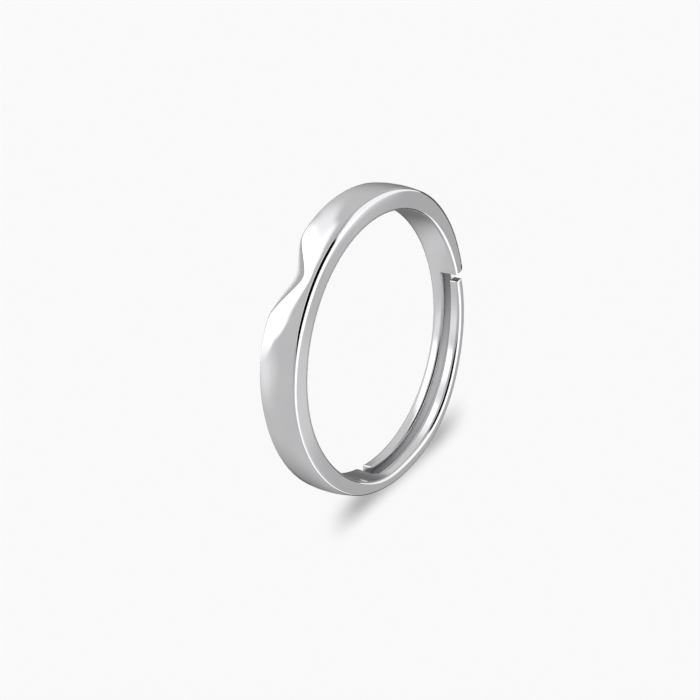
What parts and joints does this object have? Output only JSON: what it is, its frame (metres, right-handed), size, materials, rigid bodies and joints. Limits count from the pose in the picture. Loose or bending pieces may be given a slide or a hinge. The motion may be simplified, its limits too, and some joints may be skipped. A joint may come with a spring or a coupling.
{
  "type": "band ring",
  "caption": "Slim polished open band ring with a V notch in its edge at the front and stepped, side-by-side ends that overlap at the back so that its size adjusts.",
  "frame": {"origin": "middle of the ring's outline, on the flat side that it rests on", "axes": "+Z along the axis of the finger hole, up from the resting side; the notch at the front faces -Y and the split at the back is at +Y"},
  "size_m": [0.02, 0.0194, 0.0029],
  "materials": {
    "band": "high-polish sterling silver with rhodium plating"
  },
  "bodies": {
    "root": {"ring_band": "band"}
  },
  "joints": []
}
